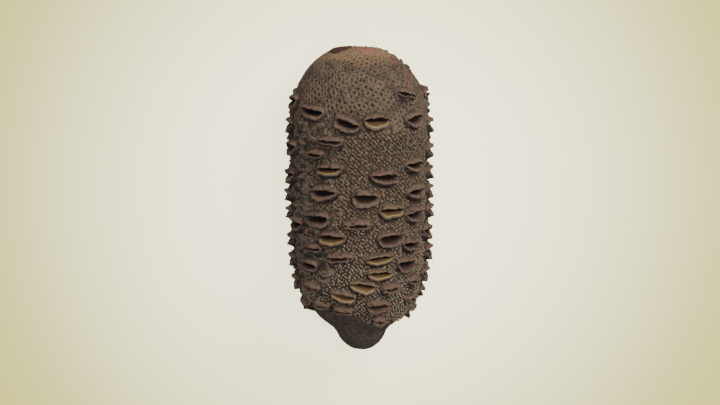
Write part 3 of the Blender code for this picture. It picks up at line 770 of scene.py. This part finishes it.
def scale_wood():
    """Reddish brown bark of the crown's scales, darker in blotches."""
    graph = Graph("banksia_scale")
    place = graph.place()
    cloud = graph.noise(place, 2.6, 4.0, 0.65)
    speck = graph.noise(place, 0.7, 4.0, 0.65)
    colour = graph.mix(graph.ease(cloud + graph.value("tone") * 0.2, 0.4, 0.75), SCALE_BROWN,
                       SCALE_DARK)
    colour = graph.shade(colour, 0.7 + 0.6 * speck)
    return graph.finish(colour, 0.7, graph.bump(cloud + speck * 0.5, 0.6, 0.9))


def gold_wood():
    """Inner layer of a mouth: straw gold, streaked along, with a painted highlight towards its
    outer edge and painted shade deeper in.
    """
    graph = Graph("banksia_gold")
    place = graph.place()
    run = graph.add("ShaderNodeUVMap", {"uv_map": "run"})
    streak = graph.noise(graph.stretched(run, (0.25, 1.0, 1.0)), 0.8, 4.0, 0.6)
    cloud = graph.noise(place, 3.0, 2.0)
    edge = graph.value("edge")
    # Painted highlight: brighter gold along the blade's outer edge.
    edge_highlight = graph.ease(edge + streak * 0.3, 0.70, 1.10)
    colour = graph.mix(edge_highlight, GOLD, GOLD_PAINTED_HIGHLIGHT)
    colour = graph.mix(graph.ease(streak, 0.5, 0.75) * 0.4, colour, GOLD_BROWN)
    colour = graph.mix(graph.ease(cloud, 0.52, 0.8) * 0.6, colour, GOLD_BROWN)
    # Painted shade: browner deeper in the mouth, away from the edge.
    deep = 1 - graph.ease(edge + cloud * 0.2, 0.32, 0.75)
    colour = graph.mix(deep * 0.85, colour, GOLD_BROWN)
    return graph.finish(colour, 0.5, graph.bump(streak, 0.12, 0.6))


# Pieces

def skin(body, follicles, material):
    """Closed skin: bearing by distance along, sunk deep between bracts and in the mouths.

    It comes up nearer the surface where the bracts are worn off and round the follicles' feet.
    """
    around, rows = SKIN_AROUND, SKIN_ROWS
    bearing = TURN * np.arange(around) / around
    along = np.linspace(0, body.along[-1], rows + 2)[1:-1]
    turn, run = np.meshgrid(bearing, along)
    height = body.height_at(run)
    on_body = smooth_step(height, STALK_TOP - 3, STALK_TOP + 4)
    near = nearness(body, follicles, turn, run)
    dip = smooth_step(near, 0.05, 0.55)
    lumps = sum(size * np.sin(turn * a + height * b) * np.sin(turn * c + height * d)
                for size, (a, b), (c, d) in SKIN_LUMPS)
    furrow = 0.16 * np.sin(turn * 9 + 0.4 * np.sin(height / 3)) + 0.1 * np.sin(turn * 23 + height)
    worn = wornness(turn, height)
    wrinkle = 0.32 * np.sin(height * 1.2 + 1.3 * np.sin(turn * 7 + height * 0.13))
    lumps = lumps * (1 + 0.9 * worn) + wrinkle * worn
    level = SKIN_BODY + (SKIN_CROWN - SKIN_BODY) * smooth_step(height, TIGHT_FROM, TIGHT_TO)
    level = level + (SKIN_NEAR - level) * smooth_step(near, -0.7, -0.15)
    level = level + (SKIN_WORN - level) * worn
    covered, bark = level + lumps - MOUTH_SINK * dip, furrow + lumps * 0.5 + STALK_LEVEL
    rise = on_body * covered + (1 - on_body) * bark
    rise = rise * smooth_step(body.radius_at(run), 0.5, 6) - STALK_SINK * (1 - on_body)
    points = body.point(turn, run, rise).reshape(-1, 3)
    ends = body.point(np.zeros(2), body.along[[0, -1]], 0.0)
    points = np.vstack([points, ends])
    last = (rows - 1) * around
    faces = [tube_faces(rows, around), cap_faces(0, around, rows * around, False),
             cap_faces(last, around, rows * around + 1, True)]
    foot = 1 - smooth_step(height - foot_line(turn), -2, 2)
    values = {"worn": np.concatenate([worn.ravel(), [0.0, 0.0]]),
              "foot": np.concatenate([foot.ravel(), [1.0, 0.0]])}
    make_piece("banksia_skin", points, faces, material, values)


def foot_line(bearing):
    """Height up to which the smooth foot above the stalk runs, more on the left."""
    return FOOT_HEIGHT + FOOT_CLIMB * smooth_step(-np.sin(bearing), -0.3, 0.6)


def wornness(bearing, height):
    """0 to 1: how far the bracts are worn off, most on the left of the seen side.

    Crossed waves make the clouds. The band on the left of the seen side pushes them up
    until little is left of the bracts there.
    """
    cloud = (np.sin(bearing * 5 + height / 9) * np.sin(height / 7 - bearing * 3)
             + 0.5 * np.sin(bearing * 11 - height / 5))
    left = smooth_step(-np.sin(bearing), 0.22, 0.55) * smooth_step(np.cos(bearing), -0.3, 0.2)
    band = smooth_step(height, *WORN_FROM) * (1 - smooth_step(height, *WORN_TO))
    return smooth_step(cloud * 0.35 + 0.95 * left * band, 0.45, 0.85)


def bract_kind(height):
    """Area, radius and height of the bracts at a height on the cone, as three arrays."""
    loose = 1 - smooth_step(height, LOOSE_TO, LOOSE_FROM)
    tight = smooth_step(height, TIGHT_FROM, TIGHT_TO)
    return [a * loose + b * (1 - loose - tight) + c * tight
            for a, b, c in zip(LOOSE, CROWDED, TIGHT)]


def bract_spiral(body):
    """Bearing and distance along of all bracts: a golden-angle spiral in step with their areas.

    A seeded draw moves each a little off its place.
    """
    low, high = body.along_at_height(BRACT_LOW), body.along_at_height(BRACT_HIGH)
    middle_height = (body.height[1:] + body.height[:-1]) / 2
    number = np.concatenate([[0], np.cumsum(np.diff(body.area) / bract_kind(middle_height)[0])])
    first, last = np.interp([low, high], body.along, number)
    index = np.arange(int(last - first))
    along = np.interp(first + index + 0.5, number, body.along)
    bearing = (index * GOLDEN_ANGLE + math.pi) % TURN - math.pi
    draw = np.random.default_rng(SEED)
    bearing = bearing + draw.normal(0, STRAY, len(index)) / np.maximum(body.radius_at(along), 4)
    return bearing, along + draw.normal(0, STRAY, len(index))


def bract_places(body, follicles):
    """Places of the raised bracts, and how far up a follicle's brow each has crept.

    None stands in a mouth or on a chin, and fewer where all is worn.
    """
    bearing, along = bract_spiral(body)
    height = body.height_at(along)
    draw = np.random.default_rng(SEED + 4)
    worn = wornness(bearing, height)
    shut = [f for f in follicles if f.mouth == "shut"]
    gaping = [f for f in follicles if f.mouth != "shut"]
    chin, shut_chin = (nearness(body, some, bearing, along, -1) for some in (gaping, shut))
    brow = nearness(body, follicles, bearing, along, 1)
    free = (chin < CHIN_NEAREST) & (brow < BROW_NEAREST) & (shut_chin < SHUT_NEAREST)
    free = free & (draw.random(len(along)) > 0.45 * worn - 0.08)
    free = free & (height > foot_line(bearing) + draw.normal(0, FOOT_RAGGED, len(along)))
    climb = BROW_SLOPE * np.clip(np.maximum(brow, shut_chin), 0, 1)
    return bearing[free], along[free], climb[free]


def bead_profiles(height, bare, draw):
    """Each bead's radius and height, and the reach, lift and lightness of its rings.

    A bead blends a knob and a funnel by its height on the cone, and its pit has its own size
    and depth. Worn beads are low. The rings' lightness is painted shade, deeper as the pit is
    deeper.
    """
    count = len(height)
    tight = smooth_step(height, TIGHT_FROM, TIGHT_TO)
    radius, tall = bract_kind(height)[1:]
    wide = radius * draw.normal(1, BEAD_SIZE_SPREAD, count)
    spread = BEAD_TALL_SPREAD - TIGHT_TALL_LESS * tight
    tall = tall * (1 + spread * draw.normal(0, 1, count)) * (1 - WORN_LESS * bare)
    pit_size = draw.uniform(*PIT_SIZES, count)
    pit_deep = draw.uniform(*PIT_DEPTHS, count) * (1 - smooth_step(height, PITS_FADE, PITS_END))
    pit_deep = pit_deep * (1 - WORN_LESS * bare)
    blend = tight[:, None]
    reach, lift, light = (blend * one[None] + (1 - blend) * two[None]
                          for one, two in zip(np.array(FUNNEL).T, np.array(KNOB).T))
    lip, deep = lift[:, 2:3], (pit_deep * tight + 1 - tight)[:, None]
    lift[:, 3:] = lip + (lift[:, 3:] - lip) * deep
    # The pit's painted shade is as deep as the pit.
    light[:, 3:] = 1 + (light[:, 3:] - 1) * deep
    reach[:, 3:] = reach[:, 3:] * (pit_size * tight + 1 - tight)[:, None]
    return wide, tall, reach, lift, light


def bead_points(body, places, bare, profiles, draw):
    """Points of each bead: its rings, its middle, and the middle of its foot.

    The rings are ovals made uneven by two waves, a funnel's crest has two humps, and a knob
    leans up the cone. Each bead is tilted a little its own way.
    """
    bearing, along, climb = places
    wide, tall, reach, lift = profiles
    count, tight = len(bearing), smooth_step(body.height_at(along), TIGHT_FROM, TIGHT_TO)
    lean = KNOB_LEAN * (1 - tight) * (1 - bare)
    own = draw.random((4, count)) * TURN
    hump_turn = draw.normal(0, 0.9, count)
    angle = TURN * np.arange(BEAD_ROUND) / BEAD_ROUND
    oval = (1 + 0.10 * np.cos(2 * angle[None] - own[0][:, None])
            + 0.08 * np.cos(3 * angle[None] - own[1][:, None]))
    hump = HUMP_RISE * tight[:, None] * np.cos(2 * angle[None] - hump_turn[:, None])
    size = wide[:, None, None] * reach[:, :-1, None] * oval[:, None]
    crest = np.array(HUMPED)[None, :, None]
    rise = lift[:, :-1, None] * tall[:, None, None] * (1 + hump[:, None] * crest)
    rise[:, 0] = BURIED
    shift = lean[:, None] * np.clip(lift, 0, 1)
    a = np.hstack([(size * np.cos(angle)).reshape(count, -1), np.zeros((count, 2))])
    b = (size * np.sin(angle) + shift[:, :-1, None]).reshape(count, -1)
    b = np.hstack([b, shift[:, -1:], np.zeros((count, 1))])
    n = np.hstack([rise.reshape(count, -1), (lift[:, -1] * tall)[:, None],
                   np.full((count, 1), BURIED)])
    tilt = (a * np.cos(own[2])[:, None] + b * np.sin(own[2])[:, None])
    tilt = tilt * (TILT - TIGHT_TILT_LESS * tight)[:, None]
    n = n + np.where(n > BURIED, tilt, 0.0) + climb[:, None] - BEAD_SINK
    run = along[:, None] + b
    return body.point(bearing[:, None] + a / np.maximum(body.radius_at(run), 1.5), run, n)


def beads(body, follicles, material):
    """Bracts as closed beads: rings from a buried foot up to a crest and into the middle."""
    places = bract_places(body, follicles)
    bearing, along = places[:2]
    height = body.height_at(along)
    bare = wornness(bearing, height)
    draw = np.random.default_rng(SEED + 1)
    *profiles, light = bead_profiles(height, bare, draw)
    points = bead_points(body, places, bare, profiles, draw)
    rings, each = len(HUMPED), BEAD_ROUND * len(HUMPED) + 2
    quads = tube_faces(rings, BEAD_ROUND)
    caps = np.vstack([cap_faces(0, BEAD_ROUND, each - 1, False),
                      cap_faces(each - 2 - BEAD_ROUND, BEAD_ROUND, each - 2, True)])
    # Each point's lightness: painted shade at a bead's foot and in its pit.
    light = np.hstack([np.repeat(light[:, :-1], BEAD_ROUND, axis=1), light[:, -1:],
                       np.zeros((len(along), 1))])
    values = {"light": light,
              "tone": np.repeat(draw.random(len(along))[:, None], each, axis=1),
              "worn": np.repeat(bare[:, None], each, axis=1)}
    low, high = BRACT_SPLIT
    for name, chosen in (("banksia_bracts_lower", height < low),
                         ("banksia_bracts_middle", (height >= low) & (height < high)),
                         ("banksia_bracts_upper", height >= high)):
        faces = [repeat_faces(part, chosen.sum(), each) for part in (quads, caps)]
        make_piece(name, points[chosen].reshape(-1, 3), faces, material,
                   {key: value[chosen] for key, value in values.items()})


def section_table(stations, steps):
    """Stations of a valve's section, joined by a Catmull-Rom curve at even steps."""
    rows = np.array(stations, float)
    rows = np.vstack([2 * rows[0] - rows[1], rows, 2 * rows[-1] - rows[-2]])
    place = np.clip(steps, 0, 1) * (len(stations) - 1)
    first = np.minimum(place.astype(int), len(stations) - 2)
    t = (place - first)[..., None]
    a, b, c, d = (rows[first + k] for k in range(4))
    return 0.5 * (2 * b + (c - a) * t + (2 * a - 5 * b + 4 * c - d) * t**2
                  + (3 * b - a - 3 * c + d) * t**3)


def column(values, axes):
    """Follicle values as an array that spreads over the other axes."""
    return np.array(values, float).reshape((-1,) + (1,) * axes)


def valve_points(body, follicles, angle, steps, swell=0.0):
    """Points of the valves at angles round the mouth and steps through the section.

    Angle 0 is the right corner, the upper valve has the sine above 0. The lens outline is
    the cosine along the mouth and a power of the sine across it, both scaled by the section.
    """
    upper, lower = section_table(UPPER_VALVE, steps), section_table(LOWER_VALVE, steps)
    above = (np.sin(angle) >= 0)[..., None]
    table = np.where(above, upper, lower)
    spread, lip, rise, depth, reach, power = np.moveaxis(table, -1, 0)
    above = above[..., 0]
    axes = angle.ndim
    mouths = [MOUTHS[f.mouth] for f in follicles]
    size = column([f.spread for f in follicles], axes)
    half = column([f.length / 2 for f in follicles], axes)
    lips = column([f.lip * (1 - CROWDED_RISE * (1 - min(1.0, f.spread))) for f in follicles], axes)
    floor = column([m.depth for m in mouths], axes)
    lip_gap = np.where(above, column([m.upper for m in mouths], axes),
                       column([m.lower for m in mouths], axes))
    phase = column([f.bearing * 7 + f.along * 3 for f in follicles], axes)
    lip_gap = lip_gap * (0.94 + 0.12 * np.sin(phase * 5))
    skewed = angle + SKEW * np.sin(phase * 3) * np.sin(angle)
    lens = np.abs(np.sin(skewed)) ** power
    foot = np.where(above, BROW_SPREAD, CHIN_SPREAD)
    w = np.where(above, 1, -1) * lens * size * (spread * foot + lip * lip_gap)
    u = (half + END_SPREAD * spread) * reach * np.cos(angle)
    w = w + waves(LIP_WAVES, angle, phase) * size * np.clip(rise, 0, 1) * lens
    crest = CORNER_RISE + (1 - CORNER_RISE) * np.abs(np.sin(skewed)) ** CREST_POWER
    crest = crest * (0.89 + 0.03 * np.sin(phase * 2) * np.where(above, 1, -1))
    n = lips * rise * np.where(rise > 0, crest, 1.0) + floor * depth + swell
    n = n + waves(VALVE_LUMPS, angle, phase) * np.clip(rise, 0, 1)
    cos = column([math.cos(f.slope) for f in follicles], axes)
    sin = column([math.sin(f.slope) for f in follicles], axes)
    along = column([f.along for f in follicles], axes) + u * sin + w * cos
    bearing = column([f.bearing for f in follicles], axes)
    bearing = bearing + (u * cos - w * sin) / body.radius_at(along)
    return body.point(bearing, along, n), u, w


def follicle_valves(body, follicles, material):
    """Both valves of every follicle as one closed lens of rings from root to mouth's floor.

    The floor's ring is folded flat: its points above the mouth's line meet those below, and
    one point under the skin closes the root.
    """
    around, rings = ROUND_POINTS, SECTION_POINTS
    step, angle = np.meshgrid(np.linspace(0, 1, rings), TURN * np.arange(around) / around,
                              indexing="ij")
    halves = (("banksia_follicles_lower", [f for f in follicles if f.along < MIDDLE_ALONG]),
              ("banksia_follicles_upper", [f for f in follicles if f.along >= MIDDLE_ALONG]))
    number = np.arange(rings * around).reshape(rings, around)
    mirrored = (-np.arange(around)) % around
    number[-1] = np.minimum(number[-1], number[-1][mirrored])
    quads = number.ravel()[tube_faces(rings, around)]
    root = np.stack([number[0], np.roll(number[0], -1), np.full(around, rings * around)], -1)
    tone_draw = np.random.default_rng(SEED + 3)
    for name, chosen in halves:
        points, u, w = valve_points(body, chosen, angle, step)
        points[:, -1] = (points[:, -1] + points[:, -1][:, mirrored]) / 2
        centre = points[:, :1].mean(axis=2)
        points = np.concatenate([points.reshape(len(chosen), -1, 3), centre], axis=1)
        each = rings * around + 1
        upper = np.broadcast_to(np.sin(angle) > 0, u.shape).astype(float)
        section = np.broadcast_to(step, u.shape)
        tone = np.broadcast_to(column(tone_draw.random(len(chosen)), 2), u.shape)
        values = {key: np.hstack([value.reshape(len(chosen), -1), np.zeros((len(chosen), 1))])
                  for key, value in (("upper", upper), ("section", section), ("tone", tone))}
        run = np.stack([u + 0 * w, section * SECTION_LENGTH + 0 * u], axis=-1) * MM
        run = run.reshape(len(chosen), -1, 2)
        run = np.concatenate([run, run[:, :1]], axis=1).reshape(-1, 2)
        faces = [repeat_faces(quads, len(chosen), each),
                 repeat_faces(root[:, ::-1], len(chosen), each)]
        make_piece(name, points.reshape(-1, 3), faces, material, values, run)


def gold_blades(body, follicles, material):
    """Golden layer on the lower valve's inner face: a thin closed leaf with a ragged edge.

    Across the leaf, one loop runs in along its back and out again along its front. Along it,
    the leaf goes from corner to corner of the mouth, where the loops close to a point.
    """
    chosen = [f for f in follicles if f.mouth == "gold"]
    length_steps, loop = BLADE_STEPS, BLADE_LOOP
    share = (np.arange(length_steps) + 0.5) / length_steps
    angle_run = math.pi + BLADE_END + (math.pi - 2 * BLADE_END) * share
    edge, deep = BLADE_EDGE + waves(BLADE_WAVES, share, 1), BLADE_DEEP
    going = -TURN * np.arange(loop) / loop
    across = 0.5 - 0.5 * np.cos(going)
    ends = np.sin(math.pi * share)[:, None] ** 0.35
    middle = (edge[:, None] + deep) / 2
    step = middle + (edge[:, None] + (deep - edge[:, None]) * across[None] - middle) * ends
    angle = np.repeat(angle_run[:, None], loop, axis=1)
    swell = BLADE_OFF + (BLADE_THICK * np.sin(going) + BLADE_LEAN * across)[None] * ends
    points, u, w = valve_points(body, chosen, angle, step, swell)
    tips = points[:, [0, -1]].mean(axis=2)
    each = length_steps * loop + 2
    points = np.concatenate([points.reshape(len(chosen), -1, 3), tips], axis=1)
    faces = [repeat_faces(tube_faces(length_steps, loop), len(chosen), each),
             repeat_faces(cap_faces(0, loop, each - 2, False), len(chosen), each),
             repeat_faces(cap_faces((length_steps - 1) * loop, loop, each - 1, True),
                          len(chosen), each)]
    rim = np.broadcast_to(1 - across[None], (length_steps, loop))
    rim = np.concatenate([rim.ravel(), [1.0, 1.0]])
    run = np.stack([u, w], axis=-1).reshape(len(chosen), -1, 2) * MM
    run = np.concatenate([run, run[:, :2]], axis=1).reshape(-1, 2)
    make_piece("banksia_gold_blades", points.reshape(-1, 3), faces, material,
               {"edge": np.tile(rim, len(chosen))}, run)


def crown_scales():
    """The large scale, then crumbs of others, drawn by seed and strung along the skyline."""
    draw = random.Random(SEED + 5)
    across_line, toward_line = zip(*CROWN_SKYLINE)
    first, last = across_line[0], across_line[-1]
    scales = [LARGE_SCALE]
    for k in range(CRUMBS):
        across = first + (last - first) * (k + draw.random()) / CRUMBS
        toward = float(np.interp(across, across_line, toward_line)) + draw.gauss(0, 0.3)
        wide, deep, rise = (draw.uniform(*span) for span in (CRUMB_WIDE, CRUMB_DEEP, CRUMB_RISE))
        scales.append(Scale(across, toward, wide, deep, rise + CRUMB_CLIMB * across))
    return scales


def scale_slabs(body, material):
    """Woody scales on the crown: closed ovals in rings from the middle of the top to that below.

    Their edge is ragged by sines, and their top swells up in a step near the edge.
    """
    angle = TURN * np.arange(SCALE_ROUND) / SCALE_ROUND
    ring_share, ring_rise = np.array(SCALE_SECTION).T
    points, faces, tones = [], [], []
    rings = len(SCALE_SECTION)
    each = SCALE_ROUND * rings + 2
    for k, scale in enumerate(crown_scales()):
        ragged = 1 + 0.07 * np.sin(3 * angle + k) + 0.05 * np.sin(7 * angle + 2 * k)
        across = scale.across + scale.wide * ring_share[:, None] * (ragged * np.cos(angle))[None]
        toward = scale.toward + scale.deep * ring_share[:, None] * (ragged * np.sin(angle))[None]
        bumps = 1 + 0.10 * np.sin(2 * angle + k)[None] * ring_share[:, None]
        rise = scale.rise * ring_rise[:, None] * bumps
        across = np.concatenate([across.ravel(), [scale.across] * 2])
        toward = np.concatenate([toward.ravel(), [scale.toward] * 2])
        rise = np.concatenate([rise.ravel(), [scale.rise, SCALE_BURIED]])
        points.append(body.point(*body.on_crown(across, toward), rise))
        quads = tube_faces(rings, SCALE_ROUND)
        caps = np.vstack([cap_faces(0, SCALE_ROUND, each - 2, False),
                          cap_faces(each - 2 - SCALE_ROUND, SCALE_ROUND, each - 1, True)])
        faces += [quads + k * each, caps + k * each]
        tones.append(np.full(each, (k * 0.37) % 1))
    order = sorted(faces, key=lambda part: -part.shape[1])
    make_piece("banksia_crown_scales", np.vstack(points), order, material,
               {"tone": np.concatenate(tones)})


# Stage

def build_floor():
    """Plain pale floor, a little darker and yellower away from the middle.

    It glows, and the cone neither catches its light nor mirrors it.
    """
    graph = Graph("pale_floor")
    place = graph.place()
    away = graph.add("ShaderNodeVectorMath", {"operation": "LENGTH"}, {0: place}, out="Value")
    colour = graph.mix(graph.ease(away, 0.05, 0.30), FLOOR_CREAM, FLOOR_EDGE)
    graph.finish(colour, 0.9)
    graph.feed(graph.shader.inputs["Emission Color"], colour)
    graph.shader.inputs["Emission Strength"].default_value = FLOOR_GLOW
    mesh = bpy.data.meshes.new("floor")
    signs = ((-1, -1), (1, -1), (1, 1), (-1, 1))
    corners = [(x * FLOOR_HALF, y * FLOOR_HALF, 0) for x, y in signs]
    mesh.from_pydata(corners, [], [(0, 1, 2, 3)])
    mesh.materials.append(graph.material)
    floor = bpy.data.objects.new("floor", mesh)
    bpy.context.scene.collection.objects.link(floor)
    floor.visible_diffuse = False
    floor.visible_glossy = False


def aim(thing, place, target, up=Vector((0, 1, 0))):
    """Puts a camera or light at a place, looking at the target with its top towards up."""
    back = (place - target).normalized()
    right = up.cross(back).normalized()
    top = back.cross(right)
    rows = [(right[k], top[k], back[k], place[k]) for k in range(3)]
    thing.matrix_world = Matrix([*rows, (0, 0, 0, 1)])


def build_camera():
    """Long lens over the cone, leaning towards its crown by the picture's own angle."""
    data = bpy.data.cameras.new("camera")
    data.lens, data.sensor_width = CAMERA_LENS, SENSOR_WIDTH
    data.clip_end = 20
    frame_width = PIXELS_WIDE * MM_PER_PIXEL * MM
    distance = frame_width * CAMERA_LENS / SENSOR_WIDTH
    camera = bpy.data.objects.new("camera", data)
    bpy.context.scene.collection.objects.link(camera)
    right = (PIXELS_WIDE / 2 - AXIS_PIXEL_X) * MM_PER_PIXEL * MM
    down = (PIXELS_HIGH / 2 - MIDDLE_PIXEL_Y) * MM_PER_PIXEL * MM
    target = Vector((AXIS_ASIDE * MM + right, -down, AXIS_HEIGHT * MM))
    toward = Vector((0, math.sin(SEEN_FROM_ABOVE), math.cos(SEEN_FROM_ABOVE)))
    aim(camera, target + toward * distance, target)
    bpy.context.scene.camera = camera


def build_light():
    """Soft key from the crown's side and the right, a softer top light, an even surround."""
    for light in LIGHTS:
        data = bpy.data.lights.new(light.name, "AREA")
        data.shape, data.size = "SQUARE", light.size
        data.energy, data.color = light.power, light.colour
        lamp = bpy.data.objects.new(light.name, data)
        bpy.context.scene.collection.objects.link(lamp)
        aim(lamp, Vector(light.place), Vector(LIT_POINT))
    world = bpy.data.worlds.new("surround")
    world.use_nodes = True
    background = world.node_tree.nodes["Background"]
    background.inputs["Color"].default_value = SURROUND
    background.inputs["Strength"].default_value = SURROUND_STRENGTH
    bpy.context.scene.world = world


BODY = Body()
MIDDLE_ALONG = float(BODY.along_at_height(LENGTH / 2))
FOLLICLES = place_follicles(BODY)
skin(BODY, FOLLICLES, ground_wood())
beads(BODY, FOLLICLES, bract_wood())
follicle_valves(BODY, FOLLICLES, valve_wood())
gold_blades(BODY, FOLLICLES, gold_wood())
scale_slabs(BODY, scale_wood())
build_floor()
build_camera()
build_light()
